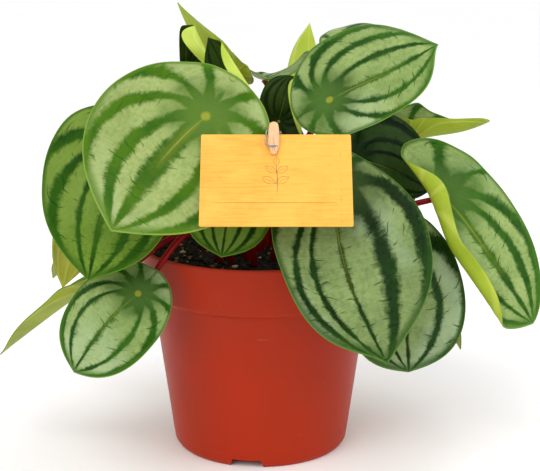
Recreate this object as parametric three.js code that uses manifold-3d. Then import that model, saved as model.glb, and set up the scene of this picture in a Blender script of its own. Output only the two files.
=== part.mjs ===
import * as THREE from 'three';
import { mergeVertices } from 'three/addons/utils/BufferGeometryUtils.js';
import Module from 'manifold-3d';

// A watermelon peperomia in a plastic nursery pot, with a blank label card held by a small peg.
// Millimetres, Z up. The origin is the middle of the pot's foot, on the surface that it stands
// on, and the front of the plant faces -Y.

// Pot
const POT_HEIGHT = 103;
const RIM_RADIUS = 60;
const FOOT_RADIUS = 43.4;
const POT_WALL = 1.3;
const COLLAR_HEIGHT = 22.5;
const COLLAR_TAPER = 2.6;
const STEP_HEIGHT = POT_HEIGHT - COLLAR_HEIGHT;
const STEP_DROP = 2;
const STEP_ROUND = 0.5;
const INNER_STEP = { in: 1.1, drop: 3 };
const WALL_TOP_RADIUS = 54.4;
const FLOOR_HEIGHT = 4.2;
const FOOT_CHAMFER = { in: 1.2, up: 2.2 };
const RIM_ROUND = 0.4;
const POT_SIDES = 48;
const NOTCH = { width: 17, topWidth: 14, height: 4, depth: 12, firstAngle: -98.7, count: 3 };
const DRAIN = { radius: 4, ring: 27, count: 6, sides: 12 };

// Soil
const SOIL_EDGE_HEIGHT = 95;
const SOIL_CROWN = 2.5;
const SOIL_EDGE_GAP = 1;
const CLEAR = 0.3;

// Stalks
const STALK_RADIUS = 1.5;
const STALK_SIDES = 6;
const STALK_STEPS = 10;
const ROOT_DEPTH = 13;
const ROOT_LEAN = 1 / 60;
const STRAIGHT_ABOVE_SOIL = 2;
const HOLE_CLEAR = 0.6;
const STALK_GAP = 0.72;

// Blades
const BLADE_THICKNESS = 1.2;
const EDGE_THICKNESS = 0.8;
const OUTLINE_POINTS = 20;
const RINGS = [0.3, 0.58, 0.82, 1];
const WIDEST = 0.25;
const SHOULDER = 0.6;
const BLUNT = 0.62;
const DENT_DEPTH = 2;
const DENT_RADIUS = 9;
const SECTION_STEPS = 24;
const FOLD_REACH = 4;

// Label card and peg. The peg's jaws lie one on each side of the card and the leaf behind it, up
// and down are measured from the card's top edge, and open is the way between the jaws.
const CARD = { width: 65, height: 44.2, thickness: 0.8, topMiddle: [7.4, -69.6, 166.7], tilt: 38.5 };
const PEG = { x: -1, width: 5, nose: 2.4, up: 5.6, down: 10.4, thickness: 1.8, bevel: 0.3, open: 5 };
const SPRING = {
  wire: 0.35, coil: 0.7, turns: 3, height: 2, hook: 7, reach: 1.6, clear: 0.42, sides: 6, steps: 64,
};

const LEAF_TOP = '#5f8f4e';
const STALK_RED = '#7d1a1c';

// Each leaf: at is where the stalk meets the blade, tip is the blade's point and face is the way the
// upper side looks. wide is the width of the two halves, the left one first as seen from above with
// the tip pointing away. back is the length behind the stalk and widest is where each half is
// widest, as a share of its length. shoulder and blunt fill out each half behind and ahead of that
// place, and round takes the point off the tip. In degrees, droop bends the blade along its length,
// fall bends each half down, fold closes the halves at the midrib, and roll turns one margin over:
// its side, where it starts near the base and far out, the span of the turn and the angle. root is
// the stalk's place in the soil as a radius and an angle, rise is how far it keeps going straight
// up, and bend how squarely it meets the blade.
const LEAVES = {
  front_left: {
    at: [-23.5, -62.4, 174.4], tip: [-62.3, -93.5, 129.4], face: [-0.2, -0.9, 0.3],
    wide: [39.8, 45.7], back: 24, widest: 0.23, shoulder: [0.48, 0.54], blunt: [0.6, 0.55],
    round: 0.25, droop: 6, fall: [6, 14], root: [18, -111],
  },
  left_upper: {
    at: [-63, -42, 156], tip: [-77, -62, 99], face: [-0.3, -0.9, 0.3], wide: [34, 38],
    back: 23, widest: 0.12, shoulder: [0.6, 0.72], blunt: [0.8, 0.6], round: 0.25, droop: 20,
    fall: [20, 12], root: [18, -145],
  },
  left_low: {
    at: [-55.7, -57, 92], tip: [-84, -70.5, 58.4], face: [-0.2, -0.9, 0.4], wide: [21, 24],
    back: 14, widest: 0.3, blunt: [0.75, 0.75], round: 0.5, droop: 20, fall: [15, 15],
    root: [27, -120], rise: 1.1, bend: 0.25,
  },
  left_edge: {
    at: [-76, -35, 92], tip: [-130.6, -8, 46], face: [-0.66, 0.2, 0.7], wide: [16, 16],
    back: 12, widest: 0.2, droop: 4, fall: [-10, -10], fold: 24, root: [27, -135], rise: 0.75,
    bend: 0.15,
  },
  left_behind: {
    at: [-86.4, 7, 120], tip: [-99.6, 1, 78], face: [-0.6, 0.8, 0.2], wide: [15, 15],
    back: 14, droop: 12, fall: [10, 10], root: [27, 174],
  },
  front_middle: {
    at: [-12, -48, 142], tip: [-17, -62, 110], face: [0, -0.9, 0.3], wide: [20, 20],
    back: 12, widest: 0.3, blunt: [0.8, 0.8], round: 0.3, droop: 15, fall: [15, 15],
    root: [27, -96],
  },
  front_right: {
    at: [32, -62, 143], tip: [55.5, -92, 69.7], face: [0.25, -0.9, 0.35], wide: [39.5, 34],
    back: 23.3, widest: 0.3, shoulder: [0.32, 0.47], blunt: [0.62, 0.86], droop: 27,
    fall: [20, 18], root: [18, -68],
  },
  right_low: {
    at: [62, -48, 110], tip: [68, -66, 57], face: [0.3, -0.9, 0.3], wide: [33.5, 28],
    back: 20, widest: 0.35, blunt: [0.85, 0.85], round: 0.6, droop: 20, fall: [13, 15],
    root: [27, -46],
  },
  right_tucked: {
    at: [80, -25, 95], tip: [97, -30, 56], face: [0.8, 0.2, 0.3], wide: [18, 18],
    back: 12, droop: 15, fall: [10, 10], root: [27, -4], rise: 0.8,
  },
  right_rolled: {
    at: [87, -31, 132], tip: [128.4, -46, 74], face: [0.3, -0.9, 0.35], wide: [27.3, 24],
    back: 31, widest: [0.22, 0.5], shoulder: [0.6, 0.4], blunt: [0.48, 0.75], round: 0.6, droop: 12,
    fall: [10, 0], roll: { side: -1, near: 2, far: 11, span: 10, angle: 145 }, root: [27, -24],
    rise: 0.3, bend: 0.08,
  },
  top_right: {
    at: [32, -25, 177], tip: [83, -20, 201], face: [-0.1, -0.6, 0.75], wide: [35, 24],
    back: 18, widest: 0.3, blunt: [0.65, 0.85], droop: 18, fall: [5, 30], root: [9, -20],
  },
  top_right_behind: {
    at: [47, 25, 198], tip: [84, 35, 198], face: [0.1, -0.4, 0.9], wide: [26, 24],
    back: 17, droop: 15, fall: [20, 20], root: [9, 40],
  },
  right_cupped: {
    at: [76, 16, 154], tip: [115, 18, 159.5], face: [0.05, 0.35, 0.93], wide: [22, 10],
    back: 16, widest: 0.1, blunt: [0.05, 0.6], round: [0, 1], droop: -28, fall: [-15, -20],
    fold: 62, root: [18, 16],
  },
  right_shaded: {
    at: [45.5, -21, 149], tip: [83, -12, 130.5], face: [0.3, -0.75, 0.5], wide: [32, 12.5],
    back: 16, widest: 0.4, blunt: [0.75, 0.75], droop: 15, fall: [15, 15], root: [18, -38],
  },
  top_back_cupped: {
    at: [-14, 24, 185], tip: [-41, 28, 218], face: [0.45, 0.65, 0.6], wide: [10.5, 6],
    back: 12, widest: 0.1, blunt: [0.62, 0.5], droop: -30, fall: [-10, 0], root: [9, 100],
  },
  top_back_flat: {
    at: [2, 46, 180], tip: [25, 50, 192], face: [-0.4, -0.05, 0.9], wide: [13, 13],
    back: 21, shoulder: [0.8, 0.8], blunt: [0.8, 0.8], round: 0.6, droop: -71, fall: [0, 0],
    root: [9, 65], rise: 0.7, bend: 0.15,
  },
  top_back_tip: {
    at: [24, 66, 163], tip: [26, 72, 205], face: [0, 0.9, 0.3], wide: [7, 11],
    back: 9, blunt: [0.45, 0.62], droop: 10, fall: [10, 10], root: [18, 84],
  },
  top_left_back: {
    at: [-36, 9, 189], tip: [-37, 10, 208], face: [0.1, -0.9, 0.3], wide: [3, 18.5],
    back: 12, blunt: [0.9, 0.9], round: 1, droop: -8, fall: [5, 0],
    roll: { side: -1, near: 12, far: 2, span: 5, angle: 160 }, root: [9, 160],
  },
  middle_back: {
    at: [9, 8, 161.5], tip: [15, 17, 183], face: [0, -0.8, 0.5], wide: [12, 17],
    back: 12, widest: 0.3, blunt: [0.85, 0.8], round: 0.8, droop: 15, fall: [15, 10],
    roll: { side: -1, near: 11, far: 4, span: 4, angle: 150 }, root: [0, 0],
  },
  top_left_inner: {
    at: [-10, -4, 176], tip: [-25, 2, 203], face: [-0.3, -0.9, 0.1], wide: [12, 10.5],
    back: 10, blunt: [0.62, 0.75], droop: -10, fall: [10, 0],
    roll: { side: -1, near: 4.5, far: 3, span: 4, angle: 150 }, root: [9, -150],
  },
  back_left: {
    at: [-50, 40, 152], tip: [-94, 66, 112], face: [-0.45, 0.5, 0.7], wide: [30, 30],
    back: 22, widest: 0.3, droop: 25, fall: [18, 18], root: [18, 140],
  },
  back_middle: {
    at: [-4, 60, 148], tip: [-18, 98, 96], face: [-0.15, 0.75, 0.6], wide: [32, 32],
    back: 22, widest: 0.3, droop: 25, fall: [18, 18], root: [18, 108],
  },
  back_right: {
    at: [46, 60, 138], tip: [74, 90, 88], face: [0.4, 0.7, 0.55], wide: [30, 30],
    back: 20, widest: 0.3, droop: 25, fall: [18, 18], root: [27, 58],
  },
  right_back: {
    at: [56, 44, 116], tip: [96, 66, 82], face: [0.4, 0.35, 0.85], wide: [25, 25],
    back: 18, widest: 0.3, droop: 25, fall: [18, 18], root: [27, 32],
  },
  left_back: {
    at: [-74, 34, 112], tip: [-112, 48, 70], face: [-0.5, 0.3, 0.8], wide: [24, 24],
    back: 15, widest: 0.3, droop: 22, fall: [15, 15], root: [27, 150],
  },
  back_low: {
    at: [14, 74, 106], tip: [22, 98, 64], face: [0.1, 0.85, 0.45], wide: [22, 22],
    back: 14, widest: 0.3, round: 0.4, droop: 20, fall: [15, 15], root: [27, 88], rise: 0.7,
  },
};

const wasm = await Module();
wasm.setup();

const rad = THREE.MathUtils.degToRad;
const vector = (list) => new THREE.Vector3(...list);

// Solids for joining and cutting, and back to a geometry
function toSolid(geometry) {
  const bare = geometry.clone();
  bare.deleteAttribute('normal');
  bare.deleteAttribute('uv');
  const merged = mergeVertices(bare, 1e-4);
  return new wasm.Manifold(new wasm.Mesh({
    numProp: 3,
    vertProperties: new Float32Array(merged.attributes.position.array),
    triVerts: new Uint32Array(merged.index.array),
  }));
}

function toGeometry(solid) {
  const mesh = solid.getMesh();
  return meshGeometry(Array.from(mesh.vertProperties), Array.from(mesh.triVerts));
}

function meshGeometry(positions, triangles) {
  const geometry = new THREE.BufferGeometry();
  geometry.setAttribute('position', new THREE.Float32BufferAttribute(positions, 3));
  geometry.setIndex(triangles);
  geometry.computeVertexNormals();
  return geometry;
}

function lathe(profile, sides) {
  const points = profile.map(([radius, height]) => new THREE.Vector2(radius, height));
  return new THREE.LatheGeometry(points, sides).rotateX(Math.PI / 2);
}

function part(name, geometry, color, roughness, metalness = 0) {
  const mesh = new THREE.Mesh(geometry, new THREE.MeshStandardMaterial({ color, roughness, metalness }));
  mesh.name = name;
  return mesh;
}

// The pot: a thin wall with a proud collar, a raised floor with drain holes and a notched foot
function wallRadius(height) {
  return THREE.MathUtils.mapLinear(height, 0, STEP_HEIGHT, FOOT_RADIUS, WALL_TOP_RADIUS);
}

function makePot() {
  const collarRadius = RIM_RADIUS - COLLAR_TAPER;
  const floorTop = FLOOR_HEIGHT + POT_WALL;
  const innerBreak = STEP_HEIGHT - INNER_STEP.drop;
  const profile = [
    [0, FLOOR_HEIGHT],
    [FOOT_RADIUS - 2 * POT_WALL, FLOOR_HEIGHT],
    [FOOT_RADIUS - 2 * POT_WALL, 0],
    [FOOT_RADIUS - FOOT_CHAMFER.in, 0],
    [wallRadius(FOOT_CHAMFER.up), FOOT_CHAMFER.up],
    [wallRadius(STEP_HEIGHT - STEP_DROP), STEP_HEIGHT - STEP_DROP],
    [collarRadius - STEP_ROUND, STEP_HEIGHT - STEP_ROUND],
    [collarRadius, STEP_HEIGHT + STEP_ROUND],
    [RIM_RADIUS, POT_HEIGHT - 2 * RIM_ROUND],
    [RIM_RADIUS - RIM_ROUND, POT_HEIGHT],
    [RIM_RADIUS - POT_WALL, POT_HEIGHT],
    [collarRadius - POT_WALL - INNER_STEP.in, STEP_HEIGHT],
    [wallRadius(innerBreak) - POT_WALL, innerBreak],
    [wallRadius(floorTop) - POT_WALL, floorTop],
    [0, floorTop],
  ];
  let pot = toSolid(lathe(profile, POT_SIDES));
  for (let i = 0; i < NOTCH.count; i += 1) {
    pot = pot.subtract(toSolid(notchCutter(NOTCH.firstAngle + (i * 360) / NOTCH.count)));
  }
  for (let i = 0; i < DRAIN.count; i += 1) {
    pot = pot.subtract(toSolid(drainCutter((i * 360) / DRAIN.count)));
  }
  return toGeometry(pot);
}

function notchCutter(angle) {
  const shape = new THREE.Shape();
  shape.moveTo(-NOTCH.width / 2, -1);
  shape.lineTo(NOTCH.width / 2, -1);
  shape.lineTo(NOTCH.topWidth / 2, NOTCH.height);
  shape.lineTo(-NOTCH.topWidth / 2, NOTCH.height);
  const cutter = new THREE.ExtrudeGeometry(shape, { depth: NOTCH.depth, bevelEnabled: false });
  cutter.rotateX(Math.PI / 2).translate(0, NOTCH.depth / 2 - FOOT_RADIUS, 0);
  return cutter.rotateZ(rad(angle + 90));
}

function drainCutter(angle) {
  const cutter = new THREE.CylinderGeometry(DRAIN.radius, DRAIN.radius, 4 * POT_WALL, DRAIN.sides);
  return cutter.rotateX(Math.PI / 2).translate(DRAIN.ring, 0, FLOOR_HEIGHT).rotateZ(rad(angle));
}

// Soil with a low crown and one plain hole for each stalk
function soilTop(radius) {
  return SOIL_EDGE_HEIGHT + SOIL_CROWN * Math.cos((radius / RIM_RADIUS) * (Math.PI / 2));
}

function makeSoil() {
  const bottom = FLOOR_HEIGHT + POT_WALL + CLEAR;
  const inside = POT_WALL + CLEAR;
  const innerBreak = STEP_HEIGHT - INNER_STEP.drop;
  const edge = THREE.MathUtils.mapLinear(
    SOIL_EDGE_HEIGHT, STEP_HEIGHT, POT_HEIGHT, RIM_RADIUS - COLLAR_TAPER, RIM_RADIUS,
  );
  const profile = [
    [0, bottom],
    [wallRadius(bottom) - inside, bottom],
    [wallRadius(innerBreak) - inside, innerBreak],
    [RIM_RADIUS - COLLAR_TAPER - inside - 2 * INNER_STEP.in, STEP_HEIGHT],
    [edge - inside - SOIL_EDGE_GAP, SOIL_EDGE_HEIGHT],
    [RIM_RADIUS / 2, soilTop(RIM_RADIUS / 2)],
    [0, soilTop(0)],
  ];
  let soil = toSolid(lathe(profile, POT_SIDES));
  for (const leaf of Object.values(LEAVES)) {
    soil = soil.subtract(toSolid(stalkHole(leaf)));
  }
  return toGeometry(soil);
}

// Stalks: straight in the soil, then one smooth bend up to the underside of the blade
function stalkStart(leaf) {
  const [radius, angle] = leaf.root;
  const out = new THREE.Vector3(Math.cos(rad(angle)), Math.sin(rad(angle)), 0);
  const surface = out.clone().multiplyScalar(radius).setZ(soilTop(radius));
  const direction = out.multiplyScalar(radius * ROOT_LEAN).setZ(1).normalize();
  return { surface, direction };
}

function stalkHole(leaf) {
  const { surface, direction } = stalkStart(leaf);
  const length = ROOT_DEPTH + CLEAR + 2 * STRAIGHT_ABOVE_SOIL;
  const hole = new THREE.CylinderGeometry(
    STALK_RADIUS + HOLE_CLEAR, STALK_RADIUS + HOLE_CLEAR, length, STALK_SIDES,
  );
  const middle = surface.clone().addScaledVector(direction, length / 2 - ROOT_DEPTH - CLEAR);
  const turn = new THREE.Quaternion().setFromUnitVectors(new THREE.Vector3(0, 1, 0), direction);
  return hole.applyQuaternion(turn).translate(...middle);
}

function stalkPath(leaf) {
  const { surface, direction } = stalkStart(leaf);
  const rise = leaf.rise ?? 0.55;
  const bend = leaf.bend ?? 0.3;
  const frame = bladeFrame(leaf);
  const end = bladePoint(leaf, frame, 0, 0).addScaledVector(frame.up, -BLADE_THICKNESS / 2 - STALK_GAP);
  const foot = surface.clone().addScaledVector(direction, -ROOT_DEPTH);
  const start = surface.clone().addScaledVector(direction, STRAIGHT_ABOVE_SOIL);
  const reach = start.distanceTo(end);
  const path = new THREE.CurvePath();
  path.add(new THREE.LineCurve3(foot, start));
  path.add(new THREE.CubicBezierCurve3(
    start,
    start.clone().addScaledVector(direction, reach * rise),
    end.clone().addScaledVector(frame.up, -reach * bend),
    end,
  ));
  return path;
}

function ring(radius, sides) {
  const points = [];
  for (let i = 0; i < sides; i += 1) {
    const angle = (i * 2 * Math.PI) / sides;
    points.push(new THREE.Vector2(radius * Math.cos(angle), radius * Math.sin(angle)));
  }
  return new THREE.Shape(points);
}

function makeStalk(leaf) {
  const section = ring(STALK_RADIUS, STALK_SIDES);
  const tube = new THREE.ExtrudeGeometry(section, { steps: STALK_STEPS, extrudePath: stalkPath(leaf) });
  return toGeometry(toSolid(tube));
}

// Blades: a flat outline laid over a curved middle surface
function bladeFrame(leaf) {
  const at = vector(leaf.at);
  const along = vector(leaf.tip).sub(at);
  const chord = along.length();
  along.normalize();
  const up = vector(leaf.face);
  up.addScaledVector(along, -up.dot(along)).normalize();
  const across = new THREE.Vector3().crossVectors(up, along);
  const droop = rad(leaf.droop);
  const bendRadius = chord / (2 * Math.sin(droop / 2));
  return { at, along, up, across, droop, bendRadius, length: bendRadius * droop };
}

// A rolled margin starts near the midrib at the base and moves outwards along the blade
const rollShare = (s) => THREE.MathUtils.smoothstep(s, -10, 25);

// The cross-section is walked outwards from the midrib, turning as it goes
function crossSection(leaf, s, t) {
  const side = t < 0 ? 1 : 0;
  const stride = Math.abs(t) / SECTION_STEPS;
  const rolled = leaf.roll && leaf.roll.side * t > 0;
  const rollStart = rolled ? THREE.MathUtils.lerp(leaf.roll.near, leaf.roll.far, rollShare(s)) : 0;
  let out = 0;
  let rise = 0;
  for (let i = 0; i < SECTION_STEPS; i += 1) {
    const reached = (i + 0.5) * stride;
    let angle = rad(leaf.fold ?? 0) * (1 - Math.exp(-reached / FOLD_REACH));
    angle -= rad(leaf.fall[side]) * (reached / leaf.wide[side]);
    if (rolled) {
      const turned = THREE.MathUtils.smoothstep(reached, rollStart, rollStart + leaf.roll.span);
      angle += rad(leaf.roll.angle) * turned;
    }
    out += Math.cos(angle) * stride;
    rise += Math.sin(angle) * stride;
  }
  return { out: t < 0 ? -out : out, rise };
}

function bladePoint(leaf, frame, s, t) {
  const { at, along, up, across, droop, bendRadius } = frame;
  const angle = droop / 2 - s / bendRadius;
  const { out, rise } = crossSection(leaf, s, t);
  const dent = DENT_DEPTH * Math.exp(-(s * s + t * t) / (DENT_RADIUS * DENT_RADIUS));
  const height = rise - dent;
  return at.clone()
    .addScaledVector(along, bendRadius * (Math.sin(droop / 2) - Math.sin(angle)) - height * Math.sin(angle))
    .addScaledVector(up, bendRadius * (Math.cos(angle) - Math.cos(droop / 2)) + height * Math.cos(angle))
    .addScaledVector(across, out);
}

function bladeNormal(leaf, frame, s, t) {
  const nudge = 0.05;
  const alongS = bladePoint(leaf, frame, s + nudge, t).sub(bladePoint(leaf, frame, s - nudge, t));
  const alongT = bladePoint(leaf, frame, s, t + nudge).sub(bladePoint(leaf, frame, s, t - nudge));
  return alongS.cross(alongT).normalize();
}

function halfOutline(leaf, length, side) {
  const half = leaf.wide[side];
  const widest = (leaf.widest?.[side] ?? leaf.widest ?? WIDEST) * length;
  const blunt = leaf.blunt?.[side] ?? BLUNT;
  const shoulder = leaf.shoulder?.[side] ?? SHOULDER;
  const round = leaf.round?.[side] ?? leaf.round ?? 0;
  const curve = new THREE.CurvePath();
  curve.add(new THREE.CubicBezierCurve(
    new THREE.Vector2(length, 0),
    new THREE.Vector2(length - 0.2 * (1 - round) * (length - widest), (0.3 + 0.35 * round) * half),
    new THREE.Vector2(widest + blunt * (length - widest), half),
    new THREE.Vector2(widest, half),
  ));
  curve.add(new THREE.CubicBezierCurve(
    new THREE.Vector2(widest, half),
    new THREE.Vector2(widest - shoulder * (widest + leaf.back), half),
    new THREE.Vector2(-leaf.back, shoulder * half),
    new THREE.Vector2(-leaf.back, 0),
  ));
  return curve.getSpacedPoints(OUTLINE_POINTS / 2);
}

function outline(leaf, length) {
  const left = halfOutline(leaf, length, 0);
  const right = halfOutline(leaf, length, 1).slice(1, -1).reverse();
  return [...left, ...right.map((point) => new THREE.Vector2(point.x, -point.y))];
}

function makeBlade(leaf) {
  const frame = bladeFrame(leaf);
  const margin = outline(leaf, frame.length);
  const count = margin.length;
  const flat = [{ s: 0, t: 0, ring: 0 }];
  for (const ring of RINGS) {
    for (const point of margin) {
      flat.push({ s: point.x * ring, t: point.y * ring, ring });
    }
  }
  const positions = [];
  for (const face of [1, -1]) {
    for (const { s, t, ring } of flat) {
      const half = THREE.MathUtils.lerp(BLADE_THICKNESS, EDGE_THICKNESS, ring) / 2;
      const normal = bladeNormal(leaf, frame, s, t);
      positions.push(...bladePoint(leaf, frame, s, t).addScaledVector(normal, face * half));
    }
  }
  return meshGeometry(positions, bladeTriangles(count, flat.length));
}

// Both faces are split alike, and a wall joins them round the margin
function bladeTriangles(count, under) {
  const upper = [];
  for (let i = 0; i < count; i += 1) {
    const next = (i + 1) % count;
    upper.push([0, 1 + i, 1 + next]);
    for (let ring = 1; ring < RINGS.length; ring += 1) {
      const inner = 1 + (ring - 1) * count;
      const outer = 1 + ring * count;
      upper.push([inner + i, outer + i, outer + next]);
      upper.push([inner + i, outer + next, inner + next]);
    }
  }
  const triangles = upper.flatMap(([a, b, c]) => [a, b, c, under + a, under + c, under + b]);
  const margin = 1 + (RINGS.length - 1) * count;
  for (let i = 0; i < count; i += 1) {
    const here = margin + i;
    const next = margin + ((i + 1) % count);
    triangles.push(here, under + here, under + next, here, under + next, next);
  }
  return triangles;
}

// The card and the peg share a frame: X across, Y out of the card's face, Z up along the card
function cardGroup() {
  const group = new THREE.Group();
  group.position.set(...CARD.topMiddle);
  group.rotation.x = -rad(CARD.tilt);
  return group;
}

function makeCard() {
  const card = new THREE.BoxGeometry(CARD.width, CARD.thickness, CARD.height);
  return card.translate(0, 0, -CARD.height / 2);
}

// One jaw seen from the front: a round tail, straight sides and a nose drawn in to a narrow end
function makeJaw(face) {
  const half = PEG.width / 2;
  const nose = PEG.nose / 2;
  const shape = new THREE.Shape();
  shape.moveTo(-nose, -PEG.down);
  shape.lineTo(nose, -PEG.down);
  shape.lineTo(half, -PEG.down * 0.6);
  shape.lineTo(half, -1);
  shape.lineTo(half - 0.5, PEG.up - 1.6);
  shape.quadraticCurveTo(half - 0.7, PEG.up, 0, PEG.up);
  shape.quadraticCurveTo(-half + 0.7, PEG.up, -half + 0.5, PEG.up - 1.6);
  shape.lineTo(-half, -1);
  shape.lineTo(-half, -PEG.down * 0.6);
  const jaw = new THREE.ExtrudeGeometry(shape, {
    depth: PEG.thickness - 2 * PEG.bevel,
    bevelThickness: PEG.bevel,
    bevelSize: PEG.bevel,
    bevelOffset: -PEG.bevel,
    bevelSegments: 1,
    curveSegments: 4,
  });
  return jaw.translate(0, 0, PEG.bevel).rotateX(Math.PI / 2).translate(PEG.x, face, 0);
}

// The spring: a hook over the front jaw, an arm, the coil between the jaws, an arm and a back hook
function springPath(front, back) {
  const out = SPRING.clear + SPRING.wire;
  const side = PEG.width / 2 + out;
  const middle = front + out + SPRING.coil;
  const points = [
    [SPRING.reach, front - PEG.thickness - out, -SPRING.hook],
    [-side + 1.2, front - PEG.thickness - out, -SPRING.hook],
    [-side, front - PEG.thickness - out + 0.9, -SPRING.hook + 0.9],
    [-side, front - PEG.thickness / 2, 0],
  ];
  const perTurn = 8;
  const count = SPRING.turns * perTurn;
  for (let i = 0; i <= count; i += 1) {
    const angle = -Math.PI / 2 + (i / perTurn) * 2 * Math.PI;
    points.push([
      THREE.MathUtils.lerp(-side + 0.3, side - 0.3, i / count),
      middle + SPRING.coil * Math.sin(angle),
      SPRING.height + SPRING.coil * Math.cos(angle),
    ]);
  }
  points.push(
    [side, back + PEG.thickness / 2, -SPRING.hook / 2],
    [side, back + PEG.thickness + out - 0.9, -SPRING.hook + 0.9],
    [side - 1.2, back + PEG.thickness + out, -SPRING.hook],
    [-SPRING.reach, back + PEG.thickness + out, -SPRING.hook],
  );
  return new THREE.CatmullRomCurve3(points.map(([x, y, z]) => new THREE.Vector3(x + PEG.x, y, z)));
}

function makeSpring(front, back) {
  const section = ring(SPRING.wire, SPRING.sides);
  const extrudePath = springPath(front, back);
  const tube = new THREE.ExtrudeGeometry(section, { steps: SPRING.steps, extrudePath });
  return toGeometry(toSolid(tube));
}

const object = new THREE.Group();
object.add(part('pot', makePot(), '#b0361e', 0.45));
object.add(part('soil', makeSoil(), '#1d1612', 0.95));
for (const [place, leaf] of Object.entries(LEAVES)) {
  object.add(part(`blade_${place}`, makeBlade(leaf), LEAF_TOP, 0.35));
  object.add(part(`stalk_${place}`, makeStalk(leaf), STALK_RED, 0.4));
}
const label = cardGroup();
label.add(part('label_card', makeCard(), '#f3c052', 0.6));
const frontFace = -CARD.thickness / 2 - CLEAR;
const backFace = frontFace + PEG.open;
label.add(part('peg_front_jaw', makeJaw(frontFace), '#e0b48a', 0.7));
label.add(part('peg_back_jaw', makeJaw(backFace + PEG.thickness), '#e0b48a', 0.7));
label.add(part('peg_spring', makeSpring(frontFace, backFace), '#a9a9a4', 0.3, 0.9));
object.add(label);

export default object;
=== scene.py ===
import random
from functools import partialmethod
from math import cos, hypot, pi, radians, sin, sqrt, tau

import bpy
import numpy as np
from mathutils import Matrix, Vector, noise


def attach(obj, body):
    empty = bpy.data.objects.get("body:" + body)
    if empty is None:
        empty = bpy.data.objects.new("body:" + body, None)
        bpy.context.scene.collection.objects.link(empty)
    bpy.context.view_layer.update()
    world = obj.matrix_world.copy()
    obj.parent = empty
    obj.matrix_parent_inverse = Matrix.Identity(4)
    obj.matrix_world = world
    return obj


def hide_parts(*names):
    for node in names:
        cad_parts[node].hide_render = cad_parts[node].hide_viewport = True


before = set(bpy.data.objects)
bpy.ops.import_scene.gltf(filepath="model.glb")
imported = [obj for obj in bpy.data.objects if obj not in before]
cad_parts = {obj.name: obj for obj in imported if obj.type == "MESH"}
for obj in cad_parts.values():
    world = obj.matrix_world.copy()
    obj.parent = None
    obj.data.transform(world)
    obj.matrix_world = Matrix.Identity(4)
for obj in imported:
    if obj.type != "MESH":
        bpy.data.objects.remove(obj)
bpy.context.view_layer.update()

# A watermelon peperomia in a plastic nursery pot, with a label card held by a small wooden peg.
# The forms repeat the frame's, in millimetres, and are turned to metres when a mesh is made.
MM = 0.001
random.seed(11)

# Photo camera: a lens of 1293 pixels for a picture 540 wide, looking down by the pitch in degrees
PHOTO_WIDTH = 540
LENS_PIXELS = 1293
CAMERA_PLACE = (4.8, -626, 253)
CAMERA_PITCH = 13.27

# Setting, in metres: each lamp's kind, place, power and spread
WORLD_STRENGTH = 0.66
FLOOR_HALF = 9
LAMP_TARGET = (0, 0, 0.12)
LAMPS = {
    "key": ("SUN", (-0.5, -0.75, 1.0), 1.75, 0.9),
    "fill": ("AREA", (0.9, -0.5, 0.6), 4.5, 0.7),
    "top": ("AREA", (0.1, 0.45, 1.1), 2.0, 0.6),
}

# Pot
POT_HEIGHT = 103
RIM_RADIUS = 60
FOOT_RADIUS = 43.4
POT_WALL = 1.3
COLLAR_TAPER = 2.6
STEP_HEIGHT = 80.5
INNER_BREAK = STEP_HEIGHT - 3
WALL_TOP_RADIUS = 54.4
FLOOR_HEIGHT = 4.2
POT_SIDES = 144
POT_ROUNDING = 0.5
POT_SHARP = 35
NOTCH = dict(width=17, top_width=14, height=4, reach=6, first_angle=-98.7, count=3)
DRAIN = dict(radius=4, ring=27, count=6, sides=24)

# Soil. Each layer of its rough top has a fineness, a level where its noise is read, that noise's
# three settings and a height
SOIL_EDGE_HEIGHT = 95
SOIL_CROWN = 2.5
SOIL_RADIUS = 56.2
SOIL_SIDES = 120
SOIL_RINGS = 44
SOIL_LAYERS = ((0.16, 0, 0.8, 2.1, 4, 1.3), (0.55, 40, 0.9, 2.0, 3, 0.5))
CRUMBS = 3200
CRUMB_SIZES = (0.35, 0.5, 0.5, 0.7, 0.7, 1.0, 1.4)

# Stalks
STALK_SIDES = 14
STALK_RINGS = 48
STALK_RADIUS = 1.85
STALK_TAPER = 0.45
STALK_FLARE = 0.4
ROOT_DEPTH = 13
ROOT_LEAN = 1 / 60
STRAIGHT_ABOVE_SOIL = 2
STALK_END_DEPTH = 0.36

# Blades. An outline leaves the tip towards a handle that lies back and out by TIP_HANDLE, and when the
# tip is round not back but further out, by ROUND_HANDLE.
BLADE_THICKNESS = 1.2
EDGE_THICKNESS = 0.6
EDGE_BULGE = 0.35
OUTLINE_POINTS = 96
RINGS = 30
TIP_HANDLE = (0.2, 0.3)
ROUND_HANDLE = 0.35
DENT_DEPTH = 2
DENT_RADIUS = 9
SECTION_STEPS = 24
FOLD_REACH = 4
ROLL_CHANGE = (-10, 25)
SLOPE_STEP = 0.05
RELIEF = 0.42
GROOVE = 0.24
RIPPLE = 0.45
RIPPLE_WAVES = (5, 9)
SECOND_WAVE = 0.6

# Veins run as arcs from the stalk to the tip. An arc's number is the angle at which it leaves the
# stalk plus ARC_PULL times the angle at which it meets the tip. VEINS has the middle and half the
# width of each dark band.
ARC_PULL = 1.3
VEINS = ((47, 5.5), (82, 6), (117, 6), (152, 5))
LAST_VEIN = 187
BAND_HALF = 0.2

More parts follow.
